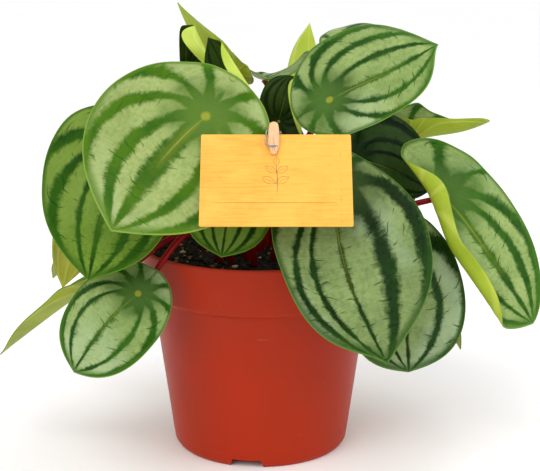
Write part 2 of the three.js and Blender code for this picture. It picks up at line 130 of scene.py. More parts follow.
# Label card and peg, and the card's print measured from its top middle: a plain rule, a stem, and
# each drawn leaf's place, angle and length
CARD = dict(width=65, height=44.2, thickness=0.8, corner=0.8, bevel=0.12,
            top_middle=(7.4, -69.6, 166.7), tilt=38.5)
PEG = dict(x=-1, width=5, nose=2.4, up=5.6, down=10.4, thickness=1.8, open=5)
CLEAR = 0.3
INK_PROUD = 0.03
INK_SUNK = 0.05
RULE = dict(height=-33.2, left=-27.5, right=26, width=0.22)
STEM = dict(low=-28.5, high=-15.5, sway=0.6, width=0.3)
SPRIG = ((0.2, -15.8, 90, 5), (0.3, -19, 35, 6), (0.3, -19, 145, 6), (-0.3, -24, 28, 6.6),
         (-0.3, -24, 152, 6.6))

# Each leaf: at is where the stalk meets the blade, tip is the blade's point and face is the way the
# upper side looks. wide is the width of each half, the left one first as seen from above with the tip
# pointing away; one number here stands for both halves. back is the length behind the stalk and widest
# the place where a half is widest, as a share of the length. shoulder and blunt fill it out behind and
# ahead of that place, and round takes the point off the tip. In degrees, droop bends the blade along
# its length, fall bends each half down, fold closes the halves, and roll turns the right margin over.
# root is the stalk's place in the soil as a radius and an angle, rise is how far it keeps going
# straight up, and bend how squarely it meets the blade. midrib is half the width of the dark midrib in
# arc degrees and bow how far it bows to the left. tone and below are the colours of the two sides.
# Some tones paint shade and light: the darkest upper sides stand for shadow inside the plant, and the
# brightest lower side for light coming through it.
USUAL = dict(widest=0.25, shoulder=0.6, blunt=0.62, round=0, fold=0, roll=None, rise=0.55, bend=0.3,
             midrib=2.5, bow=0, tone="middle", below="under")
LEAVES = {
    "front_left": dict(
        at=(-23.5, -62.4, 174.4), tip=(-62.3, -93.5, 129.4), face=(-0.2, -0.9, 0.3), wide=(39.8, 45.7),
        back=24, widest=0.23, shoulder=(0.48, 0.54), blunt=(0.6, 0.55), round=0.25, droop=6, fall=(6, 14),
        root=(18, -111), tone="fresh", midrib=20, bow=-2),
    "left_upper": dict(
        at=(-63, -42, 156), tip=(-77, -62, 99), face=(-0.3, -0.9, 0.3), wide=(34, 38), back=23, widest=0.12,
        shoulder=(0.6, 0.72), blunt=(0.8, 0.6), round=0.25, droop=20, fall=(20, 12), root=(18, -145),
        tone="olive", midrib=6),
    "left_low": dict(
        at=(-55.7, -57, 92), tip=(-84, -70.5, 58.4), face=(-0.2, -0.9, 0.4), wide=(21, 24), back=14,
        widest=0.3, blunt=0.75, round=0.5, droop=20, fall=15, root=(27, -120), rise=1.1, bend=0.25,
        midrib=4, bow=-1.5),
    "left_edge": dict(
        at=(-76, -35, 92), tip=(-130.6, -8, 46), face=(-0.66, 0.2, 0.7), wide=16, back=12, widest=0.2,
        droop=4, fall=-10, fold=24, root=(27, -135), rise=0.75, bend=0.15, tone="olive"),
    "left_behind": dict(
        at=(-86.4, 7, 120), tip=(-99.6, 1, 78), face=(-0.6, 0.8, 0.2), wide=15, back=14, droop=12, fall=10,
        root=(27, 174), tone="fresh", below="lime"),
    "front_middle": dict(
        at=(-12, -48, 142), tip=(-17, -62, 110), face=(0, -0.9, 0.3), wide=20, back=12, widest=0.3,
        blunt=0.8, round=0.3, droop=15, fall=15, root=(27, -96), tone="olive"),
    "front_right": dict(
        at=(32, -62, 143), tip=(55.5, -92, 69.7), face=(0.25, -0.9, 0.35), wide=(39.5, 34), back=23.3,
        widest=0.3, shoulder=(0.32, 0.47), blunt=(0.62, 0.86), droop=27, fall=(20, 18), root=(18, -68),
        tone="deep", bow=-7),
    "right_low": dict(
        at=(62, -48, 110), tip=(68, -66, 57), face=(0.3, -0.9, 0.3), wide=(33.5, 28), back=20, widest=0.35,
        blunt=0.85, round=0.6, droop=20, fall=(13, 15), root=(27, -46), tone="deep"),
    "right_tucked": dict(
        at=(80, -25, 95), tip=(97, -30, 56), face=(0.8, 0.2, 0.3), wide=18, back=12, droop=15, fall=10,
        root=(27, -4), rise=0.8, tone="deep"),
    "right_rolled": dict(
        at=(87, -31, 132), tip=(128.4, -46, 74), face=(0.3, -0.9, 0.35), wide=(27.3, 24), back=31,
        widest=(0.22, 0.5), shoulder=(0.6, 0.4), blunt=(0.48, 0.75), round=0.6, droop=12, fall=(10, 0),
        roll=dict(near=2, far=11, span=10, angle=145), root=(27, -24), rise=0.3, bend=0.08, midrib=7),
    "top_right": dict(
        at=(32, -25, 177), tip=(83, -20, 201), face=(-0.1, -0.6, 0.75), wide=(35, 24), back=18, widest=0.3,
        blunt=(0.65, 0.85), droop=18, fall=(5, 30), root=(9, -20), midrib=6, bow=-4),
    "top_right_behind": dict(
        at=(47, 25, 198), tip=(84, 35, 198), face=(0.1, -0.4, 0.9), wide=(26, 24), back=17, droop=15,
        fall=20, root=(9, 40)),
    "right_cupped": dict(
        at=(76, 16, 154), tip=(115, 18, 159.5), face=(0.05, 0.35, 0.93), wide=(22, 10), back=16, widest=0.1,
        blunt=(0.05, 0.6), round=(0, 1), droop=-28, fall=(-15, -20), fold=62, root=(18, 16)),
    "right_shaded": dict(
        at=(45.5, -21, 149), tip=(83, -12, 130.5), face=(0.3, -0.75, 0.5), wide=(32, 12.5), back=16,
        widest=0.4, blunt=0.75, droop=15, fall=15, root=(18, -38), tone="shade"),
    "top_back_cupped": dict(
        at=(-14, 24, 185), tip=(-41, 28, 218), face=(0.45, 0.65, 0.6), wide=(10.5, 6), back=12, widest=0.1,
        blunt=(0.62, 0.5), droop=-30, fall=(-10, 0), root=(9, 100)),
    "top_back_flat": dict(
        at=(2, 46, 180), tip=(25, 50, 192), face=(-0.4, -0.05, 0.9), wide=13, back=21, shoulder=0.8,
        blunt=0.8, round=0.6, droop=-71, fall=0, root=(9, 65), rise=0.7, bend=0.15),
    "top_back_tip": dict(
        at=(24, 66, 163), tip=(26, 72, 205), face=(0, 0.9, 0.3), wide=(7, 11), back=9, blunt=(0.45, 0.62),
        droop=10, fall=10, root=(18, 84), below="lime"),
    "top_left_back": dict(
        at=(-36, 9, 189), tip=(-37, 10, 208), face=(0.1, -0.9, 0.3), wide=(3, 18.5), back=12, blunt=0.9,
        round=1, droop=-8, fall=(5, 0), roll=dict(near=12, far=2, span=5, angle=160), root=(9, 160),
        tone="dusk", below="lime"),
    "middle_back": dict(
        at=(9, 8, 161.5), tip=(15, 17, 183), face=(0, -0.8, 0.5), wide=(12, 17), back=12, widest=0.3,
        blunt=(0.85, 0.8), round=0.8, droop=15, fall=(15, 10), roll=dict(near=11, far=4, span=4, angle=150),
        root=(0, 0), tone="dusk", below="lime"),
    "top_left_inner": dict(
        at=(-10, -4, 176), tip=(-25, 2, 203), face=(-0.3, -0.9, 0.1), wide=(12, 10.5), back=10,
        blunt=(0.62, 0.75), droop=-10, fall=(10, 0), roll=dict(near=4.5, far=3, span=4, angle=150),
        root=(9, -150), tone="dusk", below="lime"),
    "back_left": dict(
        at=(-50, 40, 152), tip=(-94, 66, 112), face=(-0.45, 0.5, 0.7), wide=30, back=22, widest=0.3,
        droop=25, fall=18, root=(18, 140), tone="fresh"),
    "back_middle": dict(
        at=(-4, 60, 148), tip=(-18, 98, 96), face=(-0.15, 0.75, 0.6), wide=32, back=22, widest=0.3,
        droop=25, fall=18, root=(18, 108)),
    "back_right": dict(
        at=(46, 60, 138), tip=(74, 90, 88), face=(0.4, 0.7, 0.55), wide=30, back=20, widest=0.3, droop=25,
        fall=18, root=(27, 58), tone="deep"),
    "right_back": dict(
        at=(56, 44, 116), tip=(96, 66, 82), face=(0.4, 0.35, 0.85), wide=25, back=18, widest=0.3, droop=25,
        fall=18, root=(27, 32)),
    "left_back": dict(
        at=(-74, 34, 112), tip=(-112, 48, 70), face=(-0.5, 0.3, 0.8), wide=24, back=15, widest=0.3,
        droop=22, fall=15, root=(27, 150)),
    "back_low": dict(
        at=(14, 74, 106), tip=(22, 98, 64), face=(0.1, 0.85, 0.45), wide=22, back=14, widest=0.3, round=0.4,
        droop=20, fall=15, root=(27, 88), rise=0.7, tone="deep"),
}

# Leaves whose bands lie elsewhere, the left half first: each band's middle and half its width
BAND_PLACES = {
    "front_left": (((63, 8), (97, 6), (131, 6), (161, 5)), ((60, 12), (106, 6), (131, 5), (158, 5))),
    "left_upper": (((58, 5.5), (86, 7), (118, 7), (152, 5)), ((46, 6), (92, 8), (124, 6), (155, 5))),
    "front_right": (((57, 11), (102, 8), (135, 4), (160, 4)), ((42, 4), (62, 4), (95, 5), (140, 5))),
    "top_right": (((56, 6), (94, 5), (117, 4.5), (136, 4)), ((49, 5), (80, 5), (125, 5), (155, 4))),
    "left_low": (((66, 5), (97, 5.5), (124, 4), (155, 4)), ((69, 5), (95, 5), (125, 5), (155, 4))),
    "right_low": (((76, 7), (122, 12), (150, 5), (165, 4)), VEINS),
    "right_rolled": (((42, 7), (72, 8), (112, 3), (158, 6)), ((40, 5), (80, 6), (118, 6), (152, 5))),
}

# Upper sides: dark, deep, silver, rim, and pale, a painted sheen laid in patches over the silver
LEAF_COLORS = {
    "fresh": ((62, 102, 2), (36, 84, 2), (158, 172, 106), (138, 170, 70), (166, 182, 128)),
    "olive": ((34, 78, 2), (14, 56, 2), (112, 140, 48), (96, 134, 34), (124, 148, 68)),
    "middle": ((40, 86, 8), (18, 62, 5), (147, 167, 100), (118, 154, 66), (176, 194, 160)),
    "deep": ((14, 50, 3), (5, 32, 2), (130, 150, 92), (92, 134, 50), (166, 184, 156)),
    # Painted shade: a leaf lying in the shadow of the leaf above it
    "shade": ((8, 34, 3), (4, 20, 2), (48, 74, 28), (50, 82, 26), (66, 92, 44)),
    # Painted shade: leaves in a dark hollow of the plant, with hardly any bands
    "dusk": ((20, 42, 2), (9, 26, 2), (38, 60, 6), (62, 88, 20), (52, 76, 10)),
}
# Lower sides: light, deep and rib. The second set is a lighter copy of the first, painted light for
# undersides that catch light through the plant.
UNDER_COLORS = {
    "under": ((156, 174, 44), (130, 150, 26), (190, 198, 92)),
    # Painted light: a brighter copy of the lower side, for undersides lit through the plant
    "lime": ((196, 214, 92), (174, 196, 66), (218, 228, 136)),
}


# Plain helpers
def unit(vectors):
    """A vector, or each row of an array, at length 1."""
    return vectors / np.linalg.norm(vectors, axis=-1, keepdims=True)


def leftward(ways):
    return np.stack([-ways[..., 1], ways[..., 0]], -1)


def smoothstep(value, low, high):
    share = np.clip((value - low) / (high - low), 0, 1)
    return share * share * (3 - 2 * share)


def polar(radius, angle):
    return radius * cos(angle), radius * sin(angle)


def circle(radius, sides):
    return [polar(radius, i * tau / sides) for i in range(sides)]


def cubic(points, share):
    a, b, c, d = (np.array(point, float) for point in points)
    share = share[:, None]
    rest = 1 - share
    return a * rest ** 3 + 3 * b * rest ** 2 * share + 3 * c * rest * share ** 2 + d * share ** 3


def both(value):
    """A value for each half of a blade, from a pair or from one number."""
    return value if isinstance(value, tuple) else (value, value)


def shifted(faces, by):
    return [tuple(index + by for index in face) for face in faces]


def ring_faces(rings, sides):
    """Four-sided faces between rings of points that follow each other."""
    faces = []
    for ring in range(rings - 1):
        for i in range(sides):
            a, b = ring * sides + i, ring * sides + (i + 1) % sides
            faces.append((a, b, b + sides, a + sides))
    return faces


def capped(points, sides, ends):
    """Points and faces of rings closed at both ends round a middle point."""
    first, last, end = len(points), len(points) + 1, len(points) - sides
    faces = ring_faces(len(points) // sides, sides)
    faces += [(first, (i + 1) % sides, i) for i in range(sides)]
    faces += [(last, end + i, end + (i + 1) % sides) for i in range(sides)]
    return points + ends, faces


def new_mesh(name, points, faces):
    mesh = bpy.data.meshes.new(name)
    mesh.from_pydata((np.asarray(points, float) * MM).tolist(), [], faces)
    return mesh


def add_object(name, data):
    thing = bpy.data.objects.new(name, data)
    bpy.context.scene.collection.objects.link(thing)
    return thing


def add_mesh(name, points, faces, paints):
    """A piece of the plant from points in millimetres, riding on the one body."""
    mesh = new_mesh(name, points, faces)
    for paint in paints:
        mesh.materials.append(paint)
    piece = add_object(name, mesh)
    mesh.shade_smooth()
    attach(piece, "root")
    return piece


def corner_points(mesh):
    corners = np.empty(len(mesh.loops), np.int32)
    mesh.loops.foreach_get("vertex_index", corners)
    return corners


def add_map(mesh, name, first, second, sign=1):
    """A UV map from two numbers for each point, the first times a sign given for each face corner."""
    corners = corner_points(mesh)
    pairs = np.stack([first[corners] * sign, second[corners]], -1).astype(np.float32)
    mesh.uv_layers.new(name=name).uv.foreach_set("vector", pairs.ravel())


# Materials
def srgb(*channels):
    scaled = [channel / 255 for channel in channels]
    return (*[c / 12.92 if c <= 0.04045 else ((c + 0.055) / 1.055) ** 2.4 for c in scaled], 1)


class Value:
    """A number, place or colour in a material's nodes, ready for plain arithmetic."""

    def __init__(self, paint, socket):
        self.paint = paint
        self.socket = socket

    def math(self, operation, *others):
        return self.paint.node("Math", enumerate((self, *others)), operation=operation)

    __add__ = partialmethod(math, "ADD")
    __sub__ = partialmethod(math, "SUBTRACT")
    __mul__ = partialmethod(math, "MULTIPLY")
    __abs__ = partialmethod(math, "ABSOLUTE")

    def mix(self, share, other):
        return self.paint.mix(share, self, other)

    def to_vein(self):
        """How far a band number is from the nearest whole one, which is a vein."""
        return abs(self - self.math("ROUND"))

    def step(self, none, full, most=1.0):
        """0 at the first value, most at the second, and smooth between them."""
        inputs = {0: self, 1: none, 2: full, 4: most}
        return self.paint.node("MapRange", inputs, interpolation_type="SMOOTHSTEP")


class Paint:
    """A procedural material. Its colours are given as plain red, green and blue from 0 to 255."""

    def __init__(self, name, **constants):
        self.material = bpy.data.materials.new(name)
        self.material.use_nodes = True
        self.tree = self.material.node_tree
        self.shader = self.tree.nodes["Principled BSDF"]
        for socket, value in constants.items():
            self.shader.inputs[socket.replace("_", " ")].default_value = value

    def node(self, kind, inputs=(), output=0, **settings):
        """The value that a new node gives."""
        node = self.tree.nodes.new("ShaderNode" + kind)
        for key, value in settings.items():
            setattr(node, key, value)
        for socket, value in dict(inputs).items():
            self.feed(node.inputs[socket], value)
        return Value(self, node.outputs[output])

    def feed(self, socket, value):
        if isinstance(value, Value):
            self.tree.links.new(value.socket, socket)
        else:
            socket.default_value = srgb(*value) if isinstance(value, tuple) else value

    def mix(self, share, first, second):
        return self.node("Mix", {0: share, 6: first, 7: second}, 2, data_type="RGBA")

    def place(self):
        return self.node("TexCoord", output="Object")

    def axes(self, place):
        split = self.node("SeparateXYZ", {0: place}).socket.node
        return [Value(self, socket) for socket in split.outputs]

    def map(self, name):
        """The two numbers of a UV map."""
        return self.axes(self.node("UVMap", uv_map=name))[:2]

    def point(self, x, y, z=0.0):
        return self.node("CombineXYZ", {0: x, 1: y, 2: z})

    def noise(self, place, scale, detail=2.0, roughness=0.5, distortion=0.0):
        inputs = {"Vector": place, "Scale": scale, "Detail": detail, "Roughness": roughness,
                  "Distortion": distortion}
        return self.node("TexNoise", inputs, "Fac")

    def grain(self, parts, scales, *shape):
        """Noise drawn out by a scale of its own along each part of a place."""
        place = self.point(*(part * scale for part, scale in zip(parts, scales)))
        return self.noise(place, 1.0, *shape)

    def bump(self, height, strength, distance, before=None):
        inputs = {"Height": height, "Strength": strength, "Distance": distance}
        if before:
            inputs["Normal"] = before
        return self.node("Bump", inputs)

    def finish(self, color, roughness, normal=None):
        self.feed(self.shader.inputs["Base Color"], color)
        self.feed(self.shader.inputs["Roughness"], roughness)
        if normal:
            self.feed(self.shader.inputs["Normal"], normal)
        return self.material


def leaf_paint(name, dark, deep, silver, rim, pale):
    """The upper side: dark bands along the veins, feathered into silver, with a pale rim."""
    paint = Paint(name, Specular_IOR_Level=0.06, Subsurface_Weight=0.04, Subsurface_Scale=0.002)
    number, along = paint.map("vein")
    margin, reach = paint.map("place")
    place = paint.place()
    vein = abs(number)
    away = number.to_vein()
    streaks = paint.grain((number, along), (1.6, 34.0), 3.0, 0.6)
    blots = paint.noise(place, 120.0, 3.0, 0.55)
    clouds = paint.noise(place, 42.0, 3.0)
    speckle = paint.noise(place, 520.0, 3.0, 0.6)

    # Bands are wide round the stalk, and their edges are drawn out along the cross veins
    waver = (blots - 0.5) * 0.34 + (speckle - 0.5) * 0.14
    centre = (reach + waver * 0.5).step(0.24, 0.1, 0.4)
    edge = away - (centre + ((streaks - 0.5) * 0.15 + waver))
    band = edge.step(0.3, 0.1)

    # Cross veins are fine dark dashes that slant from a band into the silver, and only some show
    rungs = along * 2.7 + (vein + paint.noise(place, 70.0) * 1.6)
    beside = abs(rungs.math("FRACT") - 0.5)
    some = paint.noise(place, 85.0, 1.0).step(0.45, 0.55) * reach.step(0.2, 0.35)
    cross = beside.step(0.06, 0.02) * away.step(0.46, 0.3) * some

    # The silver between the bands, the green in them, and one over the other
    tone = silver
    for texture, low, high, most in ((streaks, 0.35, 0.75, 0.2), (blots, 0.35, 0.75, 0.2),
                                     (clouds, 0.35, 0.75, 0.25), (speckle, 0.4, 0.7, 0.25)):
        tone = paint.mix(texture.step(low, high, most), tone, dark)
    # Pale patches over the silver are painted sheen, in place of a glossy highlight
    tone = paint.mix(paint.noise(place, 19.0).step(0.48, 0.66, 0.4), tone, pale)
    green = paint.mix(clouds.step(0.38, 0.62), deep, dark)
    green = green.mix(speckle.step(0.7, 0.4, 0.03), silver)
    green = green.mix(reach.step(0.3, 0.08, 0.6), paint.mix(0.22, dark, silver))
    wavered = reach + waver
    color = paint.mix(band, tone, green)
    color = color.mix(wavered.step(0.36, 0.12, 0.8), green)
    color = color.mix(cross * 0.7, deep)

    # Midrib, margin and the spot where the stalk ends
    midrib = vein.step(0.2, 0.04, 0.55) * wavered.step(0.8, 0.2)
    color = color.mix(midrib, (108, 124, 34))
    midrib = vein.step(0.035, 0.0, 0.5) * wavered.step(0.55, 0.25)
    color = color.mix(midrib, paint.mix(0.5, silver, (150, 146, 52)))
    color = color.mix(margin.step(0.91, 0.98, 0.8), paint.mix(0.14, dark, rim))
    color = color.mix(margin.step(0.986, 1.0, 0.75), rim)
    spot = reach + waver * 0.06
    color = color.mix(spot.step(0.045, 0.016, 0.8), (150, 156, 50))
    color = color.mix(spot.step(0.018, 0.0, 0.6), (150, 120, 50))

    normal = paint.bump(paint.noise(place, 900.0, 2.0, 0.6), 0.22, 0.0004)
    normal = paint.bump(streaks * 0.5 - (band + cross), 0.4, 0.0005, normal)
    normal = paint.bump(clouds, 0.35, 0.002, normal)
    return paint.finish(color, blots * 0.22 + 0.28, normal)


def under_paint(name, light, deep, rib_color):
    """The lower side: smooth yellow-green with the veins showing through."""
    paint = Paint(name, Specular_IOR_Level=0.2, Subsurface_Weight=0.1, Subsurface_Scale=0.003)
    reach = paint.map("place")[1]
    place = paint.place()
    rib = paint.map("vein")[0].to_vein().step(0.22, 0.04)
    clouds = paint.noise(place, 38.0, 3.0)
    color = paint.mix(clouds.step(0.35, 0.7), light, deep)
    color = color.mix(rib * 0.35, rib_color)
    color = color.mix(reach.step(0.2, 0.03, 0.5), (176, 166, 80))
    normal = paint.bump(rib + paint.noise(place, 500.0), 0.3, 0.0004)
    return paint.finish(color, clouds * 0.2 + 0.33, normal)


def stalk_paint():
    """Dark red, with streaks along the stalk and a little green just under the blade."""
    paint = Paint("stalk_red", Specular_IOR_Level=0.15, Subsurface_Weight=0.08, Subsurface_Scale=0.002)
    round_it, along = paint.map("along")
    grain = paint.grain((round_it, along), (9.0, 14.0), 3.0)
    blots = paint.noise(paint.place(), 260.0, 3.0)
    color = paint.mix(grain.step(0.3, 0.7), (114, 6, 9), (150, 14, 13))
    color = color.mix(blots.step(0.55, 0.75, 0.5), (92, 4, 14))
    color = color.mix(along.step(0.93, 1.0, 0.55), (150, 120, 60))
    return paint.finish(color, blots * 0.2 + 0.25, paint.bump(grain + blots, 0.25, 0.0003))


def pot_paint():
    """Terracotta-coloured moulded plastic: faint rings, dull patches, dust specks and scuffs."""
    paint = Paint("pot_plastic", Specular_IOR_Level=0.16)
    place = paint.place()
    axes = paint.axes(place)
    rings = paint.grain(axes, (4.0, 4.0, 260.0), 3.0)
    patches = paint.noise(place, 26.0, 4.0, 0.6)
    specks = paint.noise(place, 620.0, 2.0, 0.7).step(0.72, 0.8)
    scuffs = paint.grain(axes, (60.0, 60.0, 700.0), 2.0, 0.5, 0.3).step(0.71, 0.78)
    scuffs = scuffs * patches.step(0.5, 0.62)
    color = paint.mix(patches.step(0.3, 0.72), (166, 38, 2), (158, 40, 3))
    color = color.mix(rings * 0.12, (150, 40, 22))
    color = color.mix(specks * 0.35, (222, 140, 112))
    color = color.mix(scuffs * 0.3, (214, 124, 96))
    normal = paint.bump(paint.noise(place, 1400.0), 0.1, 0.0003)
    normal = paint.bump(rings + scuffs, 0.12, 0.0004, normal)
    return paint.finish(color, patches * 0.24 + 0.3, normal)


def soil_paint():
    """Dark peat, each crumb a little different, with a few bark and grit crumbs."""
    paint = Paint("soil_peat", Specular_IOR_Level=0.25)
    tone = paint.map("tone")[0]
    grain = paint.noise(paint.place(), 900.0, 4.0, 0.7)
    color = paint.mix(grain, (9, 7, 6), (32, 24, 19))
    color = color.mix(tone.step(0.2, 0.8, 0.6), (66, 50, 36))
    color = color.mix(tone.step(0.9, 0.94), (120, 100, 62))
    color = color.mix(tone.step(0.985, 0.99), (196, 188, 160))
    return paint.finish(color, grain * 0.3 + 0.65, paint.bump(grain, 0.8, 0.0008))


def card_paint():
    """Stiff card printed as warm yellow wood: long grain, warm blots, and painted shade along one fine
    upright crease.
    """
    paint = Paint("card_wood_look", Coat_Weight=0.15, Coat_Roughness=0.3)
    across, up = paint.map("face")
    grain = paint.grain((across, up), (0.06, 1.1), 4.0, 0.6, 0.4)
    fine = paint.grain((across, up, 2.0), (0.9, 3.2, 1.0), 2.0)
    blots = paint.noise(paint.point(across, up, 5.0), 0.09)
    color = paint.mix(grain.step(0.3, 0.75), (238, 172, 52), (224, 148, 36))
    color = color.mix(blots.step(0.3, 0.7, 0.5), (244, 184, 70))
    color = color.mix(fine.step(0.55, 0.8) * 0.3, (214, 148, 52))
    # Painted shade of a fold: a broken darker line, with no fold in the card's shape
    crease = abs(across + fine * 0.6 - 28.0).step(0.35, 0.0, 0.5)
    broken = paint.noise(paint.point(0.0, up, 7.0), 0.35).step(0.45, 0.6)
    color = color.mix(crease * broken, (168, 104, 40))
    return paint.finish(color, fine * 0.15 + 0.5, paint.bump(grain + fine, 0.15, 0.0002))


def peg_paint():
    """Pale sanded wood with grain along the peg."""
    paint = Paint("peg_wood")
    grain = paint.grain(paint.map("face"), (3.5, 0.35), 4.0, 0.6, 0.3)
    color = paint.mix(grain.step(0.3, 0.7), (236, 196, 150), (208, 156, 110))
    return paint.finish(color, grain * 0.15 + 0.55, paint.bump(grain, 0.3, 0.0003))


def steel_paint():
    """Bright drawn spring wire."""
    paint = Paint("spring_wire", Metallic=1.0)
    marks = paint.noise(paint.place(), 2600.0, 3.0)
    color = paint.mix(marks, (150, 150, 148), (196, 196, 192))
    return paint.finish(color, marks * 0.2 + 0.22, paint.bump(marks, 0.15, 0.0001))


def ink_paint():
    """Brown print."""
    paint = Paint("card_ink")
    wear = paint.noise(paint.place(), 1500.0, 3.0)
    color = paint.mix(wear.step(0.4, 0.7), (134, 92, 42), (170, 122, 60))
    return paint.finish(color, wear * 0.2 + 0.55)


def floor_paint():
    paint = Paint("floor_white")
    patches = paint.noise(paint.place(), 3.0)
    color = paint.mix(patches, (253, 253, 253), (255, 255, 255))
    return paint.finish(color, patches * 0.1 + 0.6)


PAINTS = {"stalk": stalk_paint(), "pot": pot_paint(), "soil": soil_paint(), "card": card_paint(),
          "ink": ink_paint(), "peg": peg_paint(), "steel": steel_paint()}
for make_paint, all_colors in ((leaf_paint, LEAF_COLORS), (under_paint, UNDER_COLORS)):
    for tone_name, colors in all_colors.items():
        PAINTS[tone_name] = make_paint(f"leaf_{tone_name}", *colors)


# Blades: a flat outline laid over a curved middle surface
def blade_shape(leaf):
    """A leaf's entry with its directions, its bend and its length along the surface."""
    at = np.array(leaf["at"], float)
    along = np.array(leaf["tip"], float) - at
    chord = np.linalg.norm(along)
    along = along / chord
    up = np.array(leaf["face"], float)
    up = unit(up - (up @ along) * along)
    droop = radians(leaf["droop"])
    bend_radius = chord / (2 * sin(droop / 2))
    return USUAL | leaf | dict(at=at, along=along, up=up, across=np.cross(up, along), half_bend=droop / 2,
                               bend_radius=bend_radius, length=bend_radius * droop)


def cross_section(leaf, s, t):
    """How far out and up the middle surface lies, walked outwards from the midrib."""
    right = t < 0
    walked = np.abs(t)
    fall, wide = (np.where(right, *reversed(both(leaf[key]))) for key in ("fall", "wide"))
    fold, roll = radians(leaf["fold"]), leaf["roll"]
    out = np.zeros_like(t)
    rise = np.zeros_like(t)
    for i in range(SECTION_STEPS):
        reached = (i + 0.5) / SECTION_STEPS * walked
        angle = fold * (1 - np.exp(-reached / FOLD_REACH)) - np.radians(fall) * reached / wide
        if roll:
            start = roll["near"] + (roll["far"] - roll["near"]) * smoothstep(s, *ROLL_CHANGE)
            turned = smoothstep(reached - start, 0, roll["span"])
            angle = angle + np.where(right, radians(roll["angle"]) * turned, 0)
        out += np.cos(angle) * walked / SECTION_STEPS
        rise += np.sin(angle) * walked / SECTION_STEPS
    return np.where(right, -out, out), rise


def blade_points(leaf, s, t, lift=0.0):
    half, bend = leaf["half_bend"], leaf["bend_radius"]
    angle = half - s / bend
    out, rise = cross_section(leaf, s, t)
    height = rise + lift - DENT_DEPTH * np.exp(-(s * s + t * t) / DENT_RADIUS ** 2)
    forward = bend * (sin(half) - np.sin(angle)) - height * np.sin(angle)
    upward = bend * (np.cos(angle) - cos(half)) + height * np.cos(angle)
    return (leaf["at"] + forward[:, None] * leaf["along"] + upward[:, None] * leaf["up"]
            + out[:, None] * leaf["across"])


def half_outline(leaf, side, count):
    """Evenly spaced points from the tip round one half to the blade's back."""
    half, widest, blunt, shoulder, point = (both(leaf[key])[side] for key in (
        "wide", "widest", "blunt", "shoulder", "round"))
    length, back = leaf["length"], leaf["back"]
    widest *= length
    ahead = length - widest
    share = np.linspace(0, 1, 200)
    handle = (length - TIP_HANDLE[0] * (1 - point) * ahead, (TIP_HANDLE[1] + ROUND_HANDLE * point) * half)
    front = cubic([(length, 0), handle, (widest + blunt * ahead, half), (widest, half)], share)
    rear = cubic([(widest, half), (widest - shoulder * (widest + back), half), (-back, shoulder * half),
                  (-back, 0)], share)
    curve = np.vstack([front, rear[1:]])
    walked = np.r_[0, np.cumsum(np.linalg.norm(np.diff(curve, axis=0), axis=1))]
    places = np.linspace(0, walked[-1], count + 1)
    return np.stack([np.interp(places, walked, curve[:, axis]) for axis in (0, 1)], -1)


def blade_grid(leaf):
    """Flat points, the middle first and then ring by ring, with each ring's share of the margin."""
    left, right = (half_outline(leaf, side, OUTLINE_POINTS // 2) for side in (0, 1))
    right = right[1:-1][::-1] * (1, -1)
    margin = np.vstack([left, right])
    shares = np.linspace(0, 1, RINGS + 1)[1:]
    grid = np.vstack([[(0, 0)]] + [margin * share for share in shares])
    return grid[:, 0], grid[:, 1], np.r_[0, np.repeat(shares, len(margin))]


def vein_numbers(name, leaf, s, t):
    """Each point's band number, below 0 in the right half, and how far it is along its arc."""
    length = leaf["length"]
    to_stalk = np.hypot(s, t) + 1e-6
    to_tip = np.hypot(length - s, t) + 1e-6
    bent = t - leaf["bow"] * np.sin(pi * np.clip(s / length, 0, 1))
    arc = np.degrees(np.arctan2(np.abs(bent), s) + ARC_PULL * np.arctan2(np.abs(bent), length - s))
    halves = []
    for bands in BAND_PLACES.get(name, (VEINS, VEINS)):
        arcs = [0, leaf["midrib"]]
        numbers = [0, BAND_HALF]
        for number, (middle, half) in enumerate(bands, 1):
            arcs += [middle - half, middle + half]
            numbers += [number - BAND_HALF, number + BAND_HALF]
        halves.append(np.interp(arc, arcs + [LAST_VEIN], numbers + [len(bands) + 1]))
    return np.where(bent < 0, -halves[1], halves[0]), np.log(to_stalk / to_tip)


def blade_relief(numbers, s, t, length, ring):
    """Silver parts swell a little between the veins, less where the veins crowd together."""
    away = np.abs(numbers - np.round(numbers))
    room = np.clip(1 / (1 / (np.hypot(s, t) + 2) + 1 / (np.hypot(length - s, t) + 2)) / 16, 0, 1)
    swell = 1 - np.exp(-(away / GROOVE) ** 2)
    return RELIEF * swell * room * (1 - smoothstep(ring, 0.85, 1)) * smoothstep(ring, 0.1, 0.35)


def blade_faces(count, under):
    """Upper faces, lower faces turned the other way, and two rows round the margin."""
    margin = 1 + (RINGS - 1) * count
    edge = 2 * under
    upper = []
    rim = []
    for i in range(count):
        after = (i + 1) % count
        upper.append((0, 1 + i, 1 + after))
        for inner in range(1, margin, count):
            outer = inner + count
            upper.append((inner + i, outer + i, outer + after, inner + after))
        rim.append((margin + i, edge + i, edge + after, margin + after))
        rim.append((edge + i, under + margin + i, under + margin + after, edge + after))
    return upper, [face[::-1] for face in shifted(upper, under)], rim


